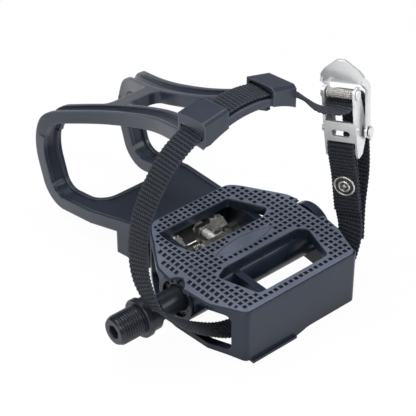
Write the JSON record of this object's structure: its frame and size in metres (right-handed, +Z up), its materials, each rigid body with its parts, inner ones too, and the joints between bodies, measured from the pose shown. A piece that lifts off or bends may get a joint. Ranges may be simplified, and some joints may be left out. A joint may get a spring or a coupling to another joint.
{
  "type": "toe clip pedal",
  "caption": "Bicycle pedal with a knurled open platform, a moulded toe clip arching over the shoe, a webbing strap with a lever buckle, and a cleat jaw underneath.",
  "frame": {"origin": "on the spindle axis, on the flange face that seats on the crank", "axes": "+X along the spindle from the crank outwards, +Y towards the toe, +Z up through the deck"},
  "size_m": [0.1409, 0.161, 0.1117],
  "materials": {
    "body_paint": "satin slate black paint over a cast alloy body",
    "ring_black": "satin black",
    "spindle_steel": "black oxide steel",
    "seal_rubber": "black rubber",
    "bush_bronze": "plain bronze",
    "bearing_steel": "ground steel",
    "clip_plastic": "satin grey black moulded nylon",
    "fastener_nickel": "bright nickel plate",
    "strap_webbing": "black ribbed webbing",
    "buckle_chrome": "bright chrome plate",
    "binding_steel": "zinc plated steel"
  },
  "bodies": {
    "spindle_set": {"spindle": "spindle_steel", "bearing_inner_race": "bearing_steel", "bearing_balls": "bearing_steel", "spindle_washer": "bearing_steel", "spindle_nut": "bearing_steel"},
    "pedal": {"pedal_body": "body_paint", "lock_ring": "ring_black", "axle_seal": "seal_rubber", "inner_bush": "bush_bronze", "bearing_outer_race": "bearing_steel", "end_cap": "body_paint", "toe_clip": "clip_plastic", "clip_bolts": "fastener_nickel", "clip_lock_washers": "fastener_nickel", "clip_nuts": "fastener_nickel", "strap": "strap_webbing", "snap_rivet": "buckle_chrome", "buckle_frame": "buckle_chrome", "roller_pin": "buckle_chrome", "lever_pin": "buckle_chrome", "jaw_pin": "binding_steel", "jaw_springs": "binding_steel", "fixed_claw": "binding_steel", "claw_bolts": "binding_steel"},
    "lever": {"buckle_lever": "buckle_chrome"},
    "roller": {"buckle_roller": "buckle_chrome"},
    "jaw": {"binding_jaw": "binding_steel", "tension_bolt": "binding_steel", "tension_plate": "binding_steel"}
  },
  "joints": [
    {"name": "pedal_spin", "type": "hinge", "parent": "spindle_set", "child": "pedal", "pos_m": [0.064, 0, 0], "axis": [1, 0, 0], "continuous": true},
    {"name": "lever_swing", "type": "hinge", "parent": "pedal", "child": "lever", "pos_m": [0.11543, -0.01113, 0.05738], "axis": [-0.4111, 0.9022, -0.1305], "range_deg": [0, 35]},
    {"name": "roller_turn", "type": "hinge", "parent": "pedal", "child": "roller", "pos_m": [0.1102, -0.0105, 0.0782], "axis": [0.4111, -0.9022, 0.1305], "continuous": true},
    {"name": "jaw_open", "type": "hinge", "parent": "pedal", "child": "jaw", "pos_m": [0.064, 0.027, -0.006], "axis": [1, 0, 0], "range_deg": [0, 12], "stiffness_Nm_per_rad": 8, "springref_deg": -2.86}
  ]
}
